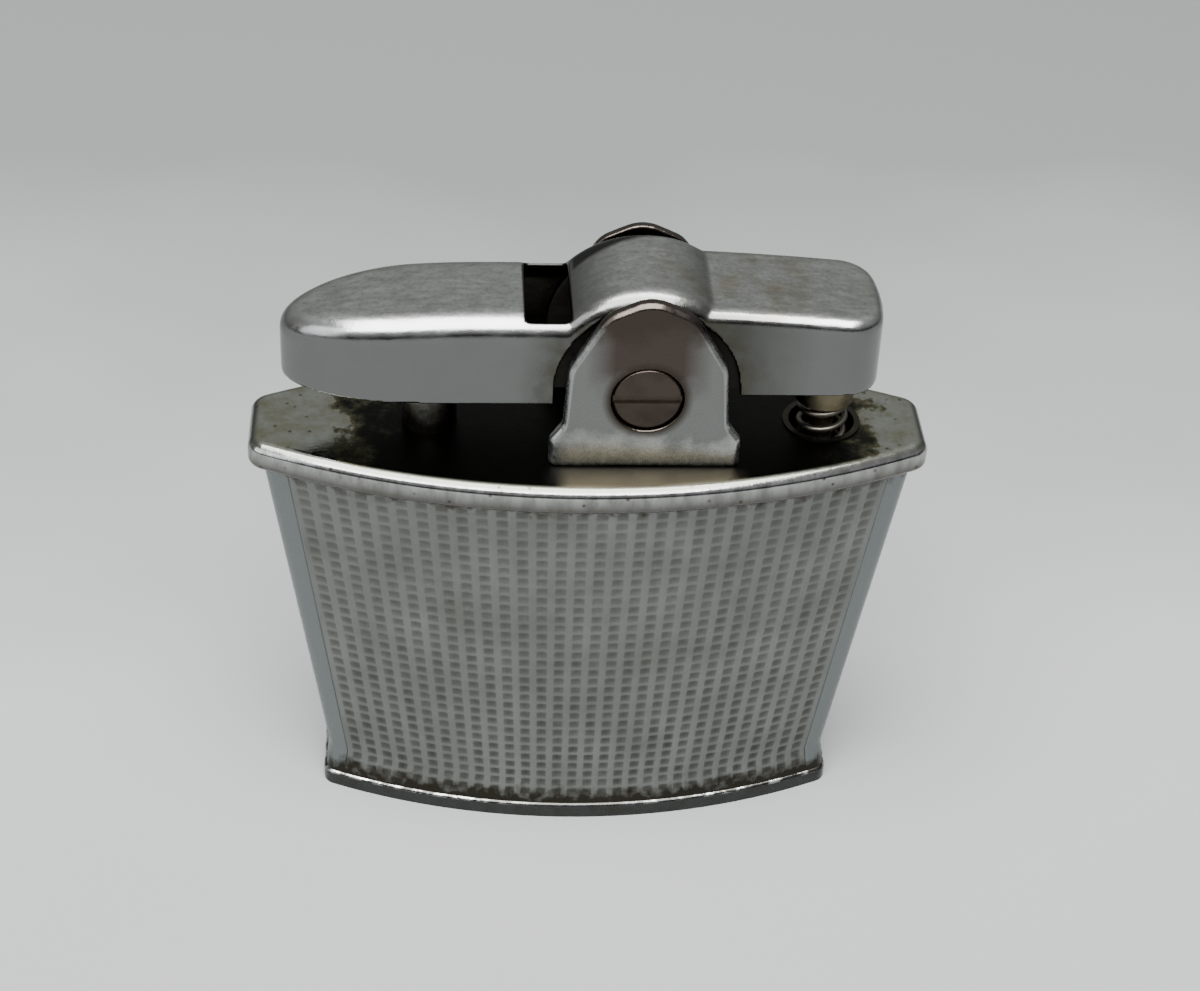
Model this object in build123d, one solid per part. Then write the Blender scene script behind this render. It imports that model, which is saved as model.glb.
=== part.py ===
from build123d import *
import math
import os

os.makedirs("parts", exist_ok=True)

# A lift-arm pocket lighter in millimetres. +Z is up, the front faces -Y, the snuffer points to -X and
# the thumb piece to +X. The foot rests on Z = 0.

# ---- driving sizes -------------------------------------------------------------------------------
HALF_WIDTH = 23.0
END_DEPTH = 3.0
BOW = 5.45
DECK_TOP = 30.5

RIM_HEIGHT = 2.0
DECK_SHEET = 0.8
CASE_WALL = 0.5
FOOT_THICK = 1.2
FLARE_TOP = 3.3
CORNER_R = 1.1
RIM_ROUND = 0.85

WHEEL_R = 4.5
WHEEL_CLEAR = 0.7
AXLE_X = 3.4
AXLE_R = 1.4

ARM_HALF = 4.35
ARM_WALL = 0.45
SNUFFER_DROP = 1.1
THUMB_DROP = 0.3
SNUFFER_ROUND = 1.6
THUMB_ROUND = 0.9
HUMP_ROUND = 1.2
NOSE_LENGTH = 9.2

BRACKET_GAP = 0.19
BRACKET_THICK = 0.9
BRACKET_OVER_AXLE = 7.35

WICK_TUBE_R = 1.85
WICK_TUBE_RISE = 5.5
FLINT_R = 1.2
PLUNGER_R = 2.0

SLIP = 0.06
SEAT = 0.02

# A plan section is (half width, half depth at the ends, extra bow at mid-width). Each is the one
# above it, drawn in or let out by a step with the same three members.
DECK_OVERHANG = (1.0, 0.35, 0.5)
CASE_TAPER = (3.9, 0.2, 1.05)
CASE_FLARE = (0.25, 0.1, 0.08)
FOOT_LEDGE = (0.2, 0.1, 0.07)


def stepped(section, step, sign):
    """A plan section let out (sign 1) or drawn in (sign -1) by a step."""
    return tuple(size + sign * change for size, change in zip(section, step))


DECK_SECTION = (HALF_WIDTH, END_DEPTH, BOW)
CASE_TOP_SECTION = stepped(DECK_SECTION, DECK_OVERHANG, -1)
CASE_LOW_SECTION = stepped(CASE_TOP_SECTION, CASE_TAPER, -1)
CASE_FLARE_SECTION = stepped(CASE_LOW_SECTION, CASE_FLARE, 1)
FOOT_SECTION = stepped(CASE_FLARE_SECTION, FOOT_LEDGE, 1)

# ---- places along the deck -----------------------------------------------------------------------
SNUFFER_TIP_X = -(HALF_WIDTH - 2.3)
THUMB_TIP_X = HALF_WIDTH - 3.9
NOSE_X = SNUFFER_TIP_X + NOSE_LENGTH
WICK_X = SNUFFER_TIP_X + 9.85
PLUNGER_X = HALF_WIDTH - 7.1
FILLER_X = -(HALF_WIDTH - 14.0)

# ---- heights -------------------------------------------------------------------------------------
RIM_BOTTOM = DECK_TOP - RIM_HEIGHT
DECK_UNDER = DECK_TOP - DECK_SHEET
CASE_TOP = DECK_UNDER - SEAT
CASE_TAPER_TOP = RIM_BOTTOM - 0.1
AXLE_Z = DECK_TOP + WHEEL_R + WHEEL_CLEAR
SKIRT_Z = AXLE_Z - SNUFFER_DROP
THUMB_SKIRT_Z = AXLE_Z - THUMB_DROP
BRACKET_TOP = AXLE_Z + BRACKET_OVER_AXLE
BRACKET_BACK = ARM_HALF + BRACKET_GAP
BRACKET_FACE = BRACKET_BACK + BRACKET_THICK
WICK_TUBE_TOP = DECK_TOP + WICK_TUBE_RISE

FLOOR_RECESS = FOOT_THICK - 0.3
FLOOR_TOP = FOOT_THICK + 0.3

# ---- radii about the axle ------------------------------------------------------------------------
EAR_R = WHEEL_R + 1.8
HUMP_R = EAR_R + 1.0
ARCH_R = HUMP_R - 1.2
PIN_RADIUS = EAR_R - 0.75


def inset(section, t):
    """The same bowed plan section moved inward by t on every side."""
    half_w, end, bow = section
    arc_r = (half_w ** 2 + bow ** 2) / (2 * bow)
    centre = arc_r - (end + bow)
    new_w = half_w - t
    new_end = math.sqrt((arc_r - t) ** 2 - new_w ** 2) - centre
    return (new_w, new_end, arc_r - t - centre - new_end)


def lens(section, corner):
    """Plan outline with bowed front and back and short straight ends."""
    half_w, end, bow = section
    with BuildSketch() as sketch:
        with BuildLine():
            ThreePointArc((-half_w, -end), (0, -end - bow), (half_w, -end))
            Line((half_w, -end), (half_w, end))
            ThreePointArc((half_w, end), (0, end + bow), (-half_w, end))
            Line((-half_w, end), (-half_w, -end))
        make_face()
        fillet(sketch.vertices(), corner)
    return sketch.sketch


def lens_loft(stations, t, corner):
    """Ruled body through (height, section) stations, inset by t."""
    faces = [Pos(0, 0, z) * lens(inset(section, t), corner) for z, section in stations]
    return loft(faces, ruled=True)


def case_stations(low, high):
    """The case's stations, with its ends drawn out to the heights low and high."""
    return [
        (low, CASE_FLARE_SECTION),
        (FLARE_TOP, CASE_LOW_SECTION),
        (CASE_TAPER_TOP, CASE_TOP_SECTION),
        (high, CASE_TOP_SECTION),
    ]


def rod(radius, z0, z1, x=0.0, y=0.0):
    """Upright cylinder from z0 to z1."""
    height = z1 - z0
    return Pos(x, y, z0 + height / 2) * Cylinder(radius, height)


def tube(outer, inner, z0, z1, x=0.0, y=0.0):
    """Upright open tube."""
    return rod(outer, z0, z1, x, y) - rod(inner, z0 - 1, z1 + 1, x, y)


def cross_rod(radius, y0, y1, x=AXLE_X, z=AXLE_Z):
    """Cylinder along Y from y0 to y1."""
    length = y1 - y0
    return Pos(x, y0 + length / 2, z) * Rot(90, 0, 0) * Cylinder(radius, length)


def block(x0, x1, y0, y1, z0, z1):
    """Box between two corners."""
    centre = Pos((x0 + x1) / 2, (y0 + y1) / 2, (z0 + z1) / 2)
    return centre * Box(x1 - x0, y1 - y0, z1 - z0)


def side_plate(face, y0, y1):
    """A face drawn in side view (x, z) made solid from y0 to y1."""
    return Pos(0, y1, 0) * Rot(90, 0, 0) * extrude(face, y1 - y0)


def side_outline(points):
    """Closed straight-sided face in side view."""
    return make_face(Polyline(*points, close=True))


def coil(mean_r, wire_r, z0, z1, turns, x=0.0, y=0.0):
    """Round-wire helical spring between two heights."""
    rise = z1 - z0 - 2 * wire_r
    path = Helix(pitch=rise / turns, height=rise, radius=mean_r)
    section = Plane(origin=path @ 0, z_dir=path % 0) * Circle(wire_r)
    return Pos(x, y, z0 + wire_r) * sweep(section, path=path, is_frenet=True)


def slot_cut(length, width, depth, z, x):
    """Screwdriver slot cut upward into a flat end at height z."""
    return block(x - length, x + length, -width / 2, width / 2, z, z + depth)


# ---- tank ----------------------------------------------------------------------------------------
DECK_CORNER_R = CORNER_R + 0.4
RIM_UNDER_ROUND = RIM_ROUND - 0.35
FOOT_ROUND = 0.3
FLOOR_CORNER_R = 0.6
PLUG_GAP = 0.3
RECESS_INSET = 1.6

def make_case_shell():
    outer = lens_loft(case_stations(FOOT_THICK + SEAT, CASE_TOP), 0, CORNER_R)
    inner = lens_loft(case_stations(FOOT_THICK - 1, CASE_TOP + 1), CASE_WALL, CORNER_R - CASE_WALL)
    return outer - inner


def make_deck_plate():
    lid = extrude(Pos(0, 0, RIM_BOTTOM) * lens(DECK_SECTION, DECK_CORNER_R), RIM_HEIGHT)
    lid = fillet(lid.faces().sort_by(Axis.Z)[-1].edges(), RIM_ROUND)
    lid = fillet(lid.faces().sort_by(Axis.Z)[0].edges(), RIM_UNDER_ROUND)
    pocket = extrude(Pos(0, 0, RIM_BOTTOM - 1) * lens(inset(CASE_TOP_SECTION, -SEAT), CORNER_R),
                     1 + RIM_HEIGHT - DECK_SHEET)
    lid -= pocket
    lid -= rod(WICK_TUBE_R + SEAT, RIM_BOTTOM, DECK_TOP + 1, WICK_X)
    lid -= rod(FLINT_TUBE_R + SEAT, RIM_BOTTOM, DECK_TOP + 1, AXLE_X)
    lid -= rod(WELL_OUTER_R + SEAT, RIM_BOTTOM, DECK_TOP + 1, PLUNGER_X)
    for side in (-1, 1):
        for tab_x in TAB_XS:
            lid -= bracket_tab(tab_x, side, SEAT)
    return lid


def make_base_foot():
    plate = extrude(lens(FOOT_SECTION, CORNER_R), FOOT_THICK)
    plate = fillet(plate.faces().sort_by(Axis.Z)[-1].edges(), FOOT_ROUND)
    plug = extrude(lens(inset(CASE_FLARE_SECTION, CASE_WALL + PLUG_GAP), FLOOR_CORNER_R), FLOOR_TOP)
    recess = extrude(lens(inset(FOOT_SECTION, RECESS_INSET), FLOOR_CORNER_R), FLOOR_RECESS)
    foot = plate + plug - recess
    foot -= rod(FLINT_TUBE_R + SEAT, 0, FLOOR_TOP + 1, AXLE_X)
    foot -= rod(FILLER_BUSH_R + SEAT, 0, FLOOR_TOP + 1, FILLER_X)
    return foot


# ---- wick, packing and felt ----------------------------------------------------------------------
WICK_BORE_R = WICK_TUBE_R - 0.38
WICK_R = WICK_BORE_R - 0.05
WICK_TUBE_BOTTOM = DECK_TOP - 3.7
WICK_BOTTOM = 12.0
WICK_STANDS = 0.9
WICK_END_ROUND = 0.5
PACK_BOTTOM = 4.2
PACK_TOP = WICK_TUBE_BOTTOM - 0.3
PACK_LAYERS = 3
PACK_GAP = 0.1
PACK_CLEAR = 0.05


def make_wick_tube():
    sleeve = tube(WICK_TUBE_R, WICK_BORE_R, WICK_TUBE_BOTTOM, WICK_TUBE_TOP, WICK_X)
    return chamfer(sleeve.edges().group_by(Axis.Z)[-1], 0.1)


def make_wick():
    strand = rod(WICK_R, WICK_BOTTOM, WICK_TUBE_TOP + WICK_STANDS, WICK_X)
    return fillet(strand.edges().group_by(Axis.Z)[-1], WICK_END_ROUND)


def tank_filling(z0, z1):
    """A layer filling the tank between two heights, clear of the walls, tubes and wick."""
    wall = CASE_WALL + 3 * PACK_CLEAR
    cavity = lens_loft(case_stations(FOOT_THICK, CASE_TOP), wall, CORNER_R - CASE_WALL)
    layer = cavity & block(-HALF_WIDTH, HALF_WIDTH, -HALF_WIDTH, HALF_WIDTH, z0, z1)
    clear = 2 * PACK_CLEAR
    layer -= rod(FLINT_TUBE_R + clear, 0, DECK_TOP, AXLE_X)
    layer -= rod(WELL_OUTER_R + clear, WELL_BOTTOM - clear, DECK_TOP, PLUNGER_X)
    layer -= rod(WICK_R + PACK_CLEAR, WICK_BOTTOM - PACK_CLEAR, DECK_TOP, WICK_X)
    layer -= rod(FILLER_BUSH_R + clear, 0, FILLER_BUSH_TOP + clear, FILLER_X)
    return layer


def make_cotton(index):
    step = (PACK_TOP - PACK_BOTTOM) / PACK_LAYERS
    z0 = PACK_BOTTOM + index * step
    return tank_filling(z0, z0 + step - PACK_GAP)


def make_felt_pad():
    return tank_filling(FLOOR_TOP + 0.1, PACK_BOTTOM - PACK_GAP)


# ---- flint feed ----------------------------------------------------------------------------------
FLINT_BORE_R = FLINT_R + 0.08
FLINT_TUBE_R = FLINT_BORE_R + 0.32
FLINT_TUBE_TOP = DECK_TOP + 0.4
FLINT_LENGTH = 5.0
FLINT_TOP = AXLE_Z - WHEEL_R - 0.04
FLINT_BOTTOM = FLINT_TOP - FLINT_LENGTH
FOLLOWER_HEAD = 1.4
FOLLOWER_PIN = 2.2
GUIDE_PIN_R = 0.45
SPRING_GAP = 0.05
FLINT_SPRING_WIRE_R = 0.16
FLINT_SPRING_R = FLINT_R - 0.35
FLINT_SPRING_TURNS = 16
HEAD_CHAMFER = 0.15
SCREW_HEAD_R = FLINT_TUBE_R + 0.6
SCREW_HEAD_Z = 0.12
FLINT_SCREW_TOP = 5.0
SPRING_SEAT_TOP = FLINT_SCREW_TOP + 1.6


def make_flint_tube():
    return tube(FLINT_TUBE_R, FLINT_BORE_R, FLOOR_RECESS, FLINT_TUBE_TOP, AXLE_X)


def make_flint():
    return rod(FLINT_R, FLINT_BOTTOM, FLINT_TOP, AXLE_X)


def make_flint_follower():
    head_top = FLINT_BOTTOM - SEAT
    head = rod(FLINT_R, head_top - FOLLOWER_HEAD, head_top, AXLE_X)
    return head + rod(GUIDE_PIN_R, head_top - FOLLOWER_HEAD - FOLLOWER_PIN, head_top, AXLE_X)


def make_flint_screw():
    head = rod(SCREW_HEAD_R, SCREW_HEAD_Z, FLOOR_RECESS - SEAT, AXLE_X)
    head = chamfer(head.edges().group_by(Axis.Z)[0], HEAD_CHAMFER)
    shank = rod(FLINT_R, SCREW_HEAD_Z, FLINT_SCREW_TOP, AXLE_X)
    pin = rod(GUIDE_PIN_R, SCREW_HEAD_Z, SPRING_SEAT_TOP, AXLE_X)
    return head + shank + pin - slot_cut(SCREW_HEAD_R, 0.5, 0.35, SCREW_HEAD_Z, AXLE_X)


def make_flint_spring():
    bottom = FLINT_SCREW_TOP + SPRING_GAP
    top = FLINT_BOTTOM - SEAT - FOLLOWER_HEAD - SPRING_GAP
    return coil(FLINT_SPRING_R, FLINT_SPRING_WIRE_R, bottom, top, FLINT_SPRING_TURNS, AXLE_X)


# ---- filler --------------------------------------------------------------------------------------
FILLER_BORE_R = 1.7
FILLER_BUSH_R = FILLER_BORE_R + 0.6
FILLER_BUSH_TOP = 4.0
FILLER_HEAD_R = FILLER_BUSH_R + 0.4
GASKET_THICK = 0.16
GASKET_TOP = FLOOR_RECESS - 0.03
FILLER_HEAD_TOP = GASKET_TOP - GASKET_THICK - 0.01


def make_filler_bush():
    return tube(FILLER_BUSH_R, FILLER_BORE_R, FLOOR_RECESS, FILLER_BUSH_TOP, FILLER_X)


def make_filler_screw():
    head = rod(FILLER_HEAD_R, SCREW_HEAD_Z, FILLER_HEAD_TOP, FILLER_X)
    head = chamfer(head.edges().group_by(Axis.Z)[0], HEAD_CHAMFER)
    shank = rod(FILLER_BORE_R - SLIP, SCREW_HEAD_Z, FILLER_BUSH_TOP - 0.4, FILLER_X)
    return head + shank - slot_cut(FILLER_HEAD_R, 0.6, 0.35, SCREW_HEAD_Z, FILLER_X)


def make_filler_gasket():
    bottom = GASKET_TOP - GASKET_THICK
    return tube(FILLER_HEAD_R - HEAD_CHAMFER, FILLER_BORE_R, bottom, GASKET_TOP, FILLER_X)


# ---- brackets and axle ---------------------------------------------------------------------------
FOOT_HALF = 6.35
NECK_HALF = 5.5
SHOULDER_HALF = 5.2
CROWN_HALF = 2.9
CROWN_RISE = 0.25
BRACKET_BEVEL = 0.3
TAB_OFFSET = 4.2
TAB_XS = (AXLE_X - TAB_OFFSET, AXLE_X + TAB_OFFSET)
TAB_WIDTH = 2.4
TAB_THICK = BRACKET_THICK - 0.3
COUNTERBORE_R = 2.4
COUNTERBORE = BRACKET_THICK - 0.4
AXLE_SCREW_R = COUNTERBORE_R - 0.12
AXLE_SHANK_R = AXLE_R / 2
AXLE_SCREW_SUNK = 0.12
AXLE_SCREW_SLOT = 0.55
AXLE_SCREW_SLOT_DEPTH = 0.22


def bracket_tab(tab_x, side, grow):
    """Riveting tab under a bracket's foot; grow widens it into the deck's slot."""
    mid = side * (BRACKET_BACK + BRACKET_THICK / 2)
    half = TAB_THICK / 2 + grow
    return block(tab_x - TAB_WIDTH / 2 - grow, tab_x + TAB_WIDTH / 2 + grow,
                 mid - half, mid + half, DECK_UNDER - 5 * grow, DECK_TOP + 0.3)


def bracket_outline():
    """Gable-topped upright with rounded shoulders on a flared foot."""
    foot_top = DECK_TOP + 1.9
    neck = DECK_TOP + 3.1
    shoulder = BRACKET_TOP - 5.1
    crown = BRACKET_TOP - 1.1
    peak = BRACKET_TOP + CROWN_RISE
    points = [
        (-FOOT_HALF, DECK_TOP), (-FOOT_HALF, foot_top), (-NECK_HALF, neck), (-SHOULDER_HALF, shoulder),
        (-CROWN_HALF, crown), (0, peak), (CROWN_HALF, crown), (SHOULDER_HALF, shoulder),
        (NECK_HALF, neck), (FOOT_HALF, foot_top), (FOOT_HALF, DECK_TOP),
    ]
    face = side_outline([(AXLE_X + x, z) for x, z in points])
    rounds = [(peak, 2.6), (crown, 2.2), (shoulder, 2.0), (neck, 0.9), (foot_top, 0.5)]
    for height, radius in rounds:
        corners = [v for v in face.vertices() if abs(v.Y - height) < 0.01]
        face = fillet(corners, radius)
    return face


def make_bracket(side):
    plate = side_plate(bracket_outline(), BRACKET_BACK, BRACKET_FACE)
    rim = [e for e in plate.faces().sort_by(Axis.Y)[-1].edges() if e.center().Z > DECK_TOP + 0.2]
    plate = chamfer(rim, BRACKET_BEVEL)
    if side < 0:
        plate = mirror(plate, Plane.XZ)
    for tab_x in TAB_XS:
        plate += bracket_tab(tab_x, side, 0)
    plate -= cross_rod(AXLE_SHANK_R + SEAT, -BRACKET_FACE - 1, BRACKET_FACE + 1)
    inner = side * (BRACKET_FACE - COUNTERBORE)
    outer = side * (BRACKET_FACE + 1)
    plate -= cross_rod(COUNTERBORE_R, min(inner, outer), max(inner, outer))
    return plate


def make_axle_sleeve():
    half = BRACKET_BACK - SEAT
    return cross_rod(AXLE_R, -half, half) - cross_rod(AXLE_SHANK_R + SEAT, -half - 1, half + 1)


def axle_screw():
    """Front screw: slotted head sunk in the counterbore, shank in the sleeve."""
    seat = -(BRACKET_FACE - COUNTERBORE) - SEAT / 2
    face = -BRACKET_FACE + AXLE_SCREW_SUNK
    head = cross_rod(AXLE_SCREW_R, face, seat)
    head = fillet(head.edges().group_by(Axis.Y)[0], 0.2)
    screw = head + cross_rod(AXLE_SHANK_R, face + AXLE_SCREW_SLOT_DEPTH, -1.6)
    half = AXLE_SCREW_SLOT / 2
    return screw - block(AXLE_X - COUNTERBORE_R, AXLE_X + COUNTERBORE_R, face - 1,
                         face + AXLE_SCREW_SLOT_DEPTH, AXLE_Z - half, AXLE_Z + half)


def make_axle_screws():
    front = axle_screw()
    return Compound([front, mirror(front, Plane.XZ)])


# ---- lift arm ------------------------------------------------------------------------------------
JOIN_X = AXLE_X
WINDOW_X0 = AXLE_X - HUMP_R - 0.7
WINDOW_X1 = AXLE_X - HUMP_R + 2.2
WINDOW_HALF = ARM_HALF - 0.7
THUMB_CORNER_R = 2.5
THUMB_BULGE = 0.7
FAR = 30.0
# Roof lines as (x, height over the axle).
SNUFFER_ROOF = [
    (SNUFFER_TIP_X - 1, 2.95), (SNUFFER_TIP_X + 2.1, 4.05), (SNUFFER_TIP_X + 6.2, 4.85),
    (SNUFFER_TIP_X + 10.7, 5.23), (AXLE_X + 1, 5.4),
]
THUMB_ROOF = [(AXLE_X - 1, 6.15), (THUMB_TIP_X - 6.6, 5.7), (THUMB_TIP_X + 1, 5.0)]


def under_roof(points, t):
    """Everything below a smooth roof line, lowered by t."""
    line = Spline(*[(x, AXLE_Z + rise - t) for x, rise in points])
    start = line @ 0
    end = line @ 1
    low = AXLE_Z - FAR
    sides = Polyline((end.X, end.Y), (end.X, low), (start.X, low), (start.X, start.Y))
    return side_plate(make_face([line, *sides.edges()]), -FAR, FAR)


def snuffer_block(t, bottom):
    """Boat-shaped end of the arm from the tip to the axle's plane."""
    half = ARM_HALF - t
    nose = NOSE_X - SNUFFER_TIP_X - t
    with BuildSketch() as plan:
        with BuildLine():
            Line((JOIN_X, -half), (NOSE_X, -half))
            EllipticalCenterArc((NOSE_X, 0), nose, half, start_angle=270, arc_size=-180)
            Line((NOSE_X, half), (JOIN_X, half))
            Line((JOIN_X, half), (JOIN_X, -half))
        make_face()
    body = extrude(Pos(0, 0, bottom) * plan.sketch, FAR) & under_roof(SNUFFER_ROOF, t)
    return round_roof(body, SNUFFER_ROUND - t)


def thumb_block(t, bottom):
    """Thumb end of the arm from the axle's plane to its rounded tip."""
    half = ARM_HALF - t
    tip = THUMB_TIP_X - t
    with BuildSketch() as plan:
        with BuildLine():
            Line((JOIN_X, -half), (tip - THUMB_BULGE, -half))
            ThreePointArc((tip - THUMB_BULGE, -half), (tip, 0), (tip - THUMB_BULGE, half))
            Line((tip - THUMB_BULGE, half), (JOIN_X, half))
            Line((JOIN_X, half), (JOIN_X, -half))
        make_face()
        fillet(plan.vertices().sort_by(Axis.X)[-2:], THUMB_CORNER_R - t)
    body = extrude(Pos(0, 0, bottom) * plan.sketch, FAR) & under_roof(THUMB_ROOF, t)
    return round_roof(body, THUMB_ROUND - t)


def round_roof(body, radius):
    """Round the roof's outline, but not the edge at the join."""
    roof = max(body.faces(), key=lambda f: f.normal_at().Z * f.area)
    rim = [e for e in roof.edges() if abs(e.center().X - JOIN_X) > 0.1]
    return fillet(rim, radius)


def hump_block(t):
    """Drum cover concentric with the axle."""
    drum = cross_rod(HUMP_R - t, -(ARM_HALF - t), ARM_HALF - t)
    drum = fillet(drum.edges(), HUMP_ROUND - t)
    return drum & block(-FAR, FAR, -FAR, FAR, AXLE_Z + 2.5, AXLE_Z + FAR)


def arm_form(t, drop):
    """Outer form of the arm for t = 0, its cavity for t = the wall."""
    form = snuffer_block(t, SKIRT_Z - drop) + thumb_block(t, THUMB_SKIRT_Z - drop)
    return form + hump_block(t)


def make_lift_arm():
    arm = arm_form(0, 0) - arm_form(ARM_WALL, 1.5)
    arch = cross_rod(ARCH_R, -FAR, FAR)
    arch += block(AXLE_X - ARCH_R, AXLE_X + ARCH_R, -FAR, FAR, DECK_TOP, AXLE_Z)
    arm -= arch
    arm -= block(WINDOW_X0, WINDOW_X1, -WINDOW_HALF, WINDOW_HALF, AXLE_Z, AXLE_Z + FAR)
    return arm


# ---- pivot yoke ----------------------------------------------------------------------------------
EAR_OUTER = ARM_HALF - ARM_WALL - 0.03
EAR_THICK = 0.6
EAR_INNER = EAR_OUTER - EAR_THICK
BOSS_R = AXLE_R + 1.3
WEB_Z = AXLE_Z + 0.5
WEB_THICK = 0.6
WEB_X0 = PLUNGER_X - 5.7
WEB_X1 = THUMB_TIP_X - 1.9
REACH_X1 = THUMB_TIP_X - 3.5
REACH_Z0 = AXLE_Z + 0.3
REACH_Z1 = AXLE_Z + 3.6


def ear(side):
    """Half disc over the axle with a boss and an extension into the thumb piece."""
    y0 = min(side * EAR_INNER, side * EAR_OUTER)
    y1 = y0 + EAR_THICK
    disc = cross_rod(EAR_R, y0, y1) & block(-FAR, FAR, -FAR, FAR, AXLE_Z, AXLE_Z + FAR)
    reach = block(AXLE_X, REACH_X1, y0, y1, REACH_Z0, REACH_Z1)
    return disc + cross_rod(BOSS_R, y0, y1) + reach - cross_rod(AXLE_R + SLIP, -FAR, FAR)


def make_pivot_yoke():
    web = block(WEB_X0, WEB_X1, -EAR_INNER - 0.1, EAR_INNER + 0.1, WEB_Z, WEB_Z + WEB_THICK)
    yoke = ear(-1) + ear(1) + web
    return yoke - cross_rod(PAWL_PIN_R + SEAT / 2, -FAR, 0, PIN_X, PIN_Z)


# ---- wheel, ratchet and pawl ---------------------------------------------------------------------
WHEEL_TEETH = 44
WHEEL_DEPTH = 0.28
WHEEL_Y0 = -2.0
WHEEL_Y1 = EAR_INNER - 0.15
RATCHET_TEETH = 12
RATCHET_TIP = WHEEL_R - 0.9
RATCHET_ROOT = RATCHET_TIP - 0.7
RATCHET_Y0 = -EAR_INNER + 0.2
RATCHET_Y1 = WHEEL_Y0 - SEAT
RATCHET_PHASE = 40.0
PAWL_PIN_R = 0.35
PIN_ANGLE = 80.0
PIN_X = AXLE_X + PIN_RADIUS * math.cos(math.radians(PIN_ANGLE))
PIN_Z = AXLE_Z + PIN_RADIUS * math.sin(math.radians(PIN_ANGLE))


def polar(radius, degrees):
    """Point in side view at a radius and angle about the axle."""
    angle = math.radians(degrees)
    return (AXLE_X + radius * math.cos(angle), AXLE_Z + radius * math.sin(angle))


def make_flint_wheel():
    step = 360 / WHEEL_TEETH
    points = []
    for tooth in range(WHEEL_TEETH):
        points.append(polar(WHEEL_R, tooth * step))
        points.append(polar(WHEEL_R - WHEEL_DEPTH, (tooth + 0.5) * step))
    wheel = side_plate(side_outline(points), WHEEL_Y0, WHEEL_Y1)
    return wheel - cross_rod(AXLE_R + SLIP, -FAR, FAR)


def make_ratchet_wheel():
    step = 360 / RATCHET_TEETH
    points = []
    for tooth in range(RATCHET_TEETH):
        angle = RATCHET_PHASE + tooth * step
        points.append(polar(RATCHET_TIP, angle))
        points.append(polar(RATCHET_ROOT, angle))
    ratchet = side_plate(side_outline(points), RATCHET_Y0, RATCHET_Y1)
    return ratchet - cross_rod(AXLE_R + SLIP, -FAR, FAR)


def make_pawl():
    tip = polar(RATCHET_ROOT + 0.1, RATCHET_PHASE + 1.8)
    heel = polar(RATCHET_TIP + 0.15, RATCHET_PHASE + 1.3)
    finger = side_outline([tip, heel, (PIN_X + 0.72, PIN_Z - 0.2), (PIN_X - 0.5, PIN_Z - 0.5)])
    pawl = side_plate(finger, RATCHET_Y0, RATCHET_Y1)
    pawl += cross_rod(0.8, RATCHET_Y0, RATCHET_Y1, PIN_X, PIN_Z)
    return pawl - cross_rod(PAWL_PIN_R + 2 * SEAT, -FAR, FAR, PIN_X, PIN_Z)


def make_pawl_pin():
    return cross_rod(PAWL_PIN_R, -EAR_OUTER, RATCHET_Y1 + 0.87, PIN_X, PIN_Z)


def make_pawl_spring():
    spring = coil(0.56, 0.11, 0, 0.75, 3)
    return Pos(PIN_X, RATCHET_Y1 + 0.84, PIN_Z) * Rot(90, 0, 0) * spring


# ---- snuffer cup ---------------------------------------------------------------------------------
CUP_WALL = 0.3
CUP_INNER = WICK_TUBE_R + 0.75
CUP_OUTER = CUP_INNER + CUP_WALL
CUP_BOTTOM = SKIRT_Z - 0.3
CUP_CEILING = WICK_TUBE_TOP + WICK_STANDS + 0.55
CUP_TOP = CUP_CEILING + CUP_WALL
STEM_R = 0.5
STEM_HEAD_R = 1.0
STEM_HEAD = 0.3
STEM_TOP = AXLE_Z + 4.6
CUP_SPRING_R = 1.2
CUP_SPRING_WIRE_R = 0.14


def make_snuffer_cup():
    cup = rod(CUP_OUTER, CUP_BOTTOM, CUP_TOP, WICK_X)
    cup = fillet(cup.edges().group_by(Axis.Z)[-1], 0.4)
    cup -= rod(CUP_INNER, CUP_BOTTOM - 1, CUP_CEILING, WICK_X)
    return cup - rod(STEM_R + SLIP, CUP_BOTTOM, CUP_TOP + 1, WICK_X)


def make_snuffer_stem():
    head_top = CUP_CEILING - 0.03
    head = rod(STEM_HEAD_R, head_top - STEM_HEAD, head_top, WICK_X)
    return head + rod(STEM_R, head_top - STEM_HEAD, STEM_TOP, WICK_X)


def make_snuffer_spring():
    return coil(CUP_SPRING_R, CUP_SPRING_WIRE_R, CUP_TOP + 0.03, STEM_TOP, 4, WICK_X)


# ---- return plunger ------------------------------------------------------------------------------
HEAD_BOTTOM = DECK_TOP + 2.1
HEAD_TOP = WEB_Z - 0.05
DOME_R = PLUNGER_R + 0.6
PLUNGER_ROD_R = 0.8
PLUNGER_ROD_BOTTOM = DECK_TOP - 9.0
WELL_INNER_R = PLUNGER_R + 0.25
WELL_OUTER_R = WELL_INNER_R + 0.4
WELL_BOTTOM = DECK_TOP - 14.5
WELL_FLOOR = 0.6
RETURN_SPRING_R = PLUNGER_R - 0.45
RETURN_SPRING_WIRE_R = 0.22
RETURN_SPRING_TURNS = 13


def make_return_plunger():
    head = rod(PLUNGER_R, HEAD_BOTTOM, HEAD_TOP + 1, PLUNGER_X)
    head &= Pos(PLUNGER_X, 0, HEAD_TOP - DOME_R) * Sphere(DOME_R)
    return head + rod(PLUNGER_ROD_R, PLUNGER_ROD_BOTTOM, HEAD_BOTTOM + 1, PLUNGER_X)


def make_spring_well():
    well = rod(WELL_OUTER_R, WELL_BOTTOM, DECK_TOP + 0.12, PLUNGER_X)
    return well - rod(WELL_INNER_R, WELL_BOTTOM + WELL_FLOOR, DECK_TOP + 1, PLUNGER_X)


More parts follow.
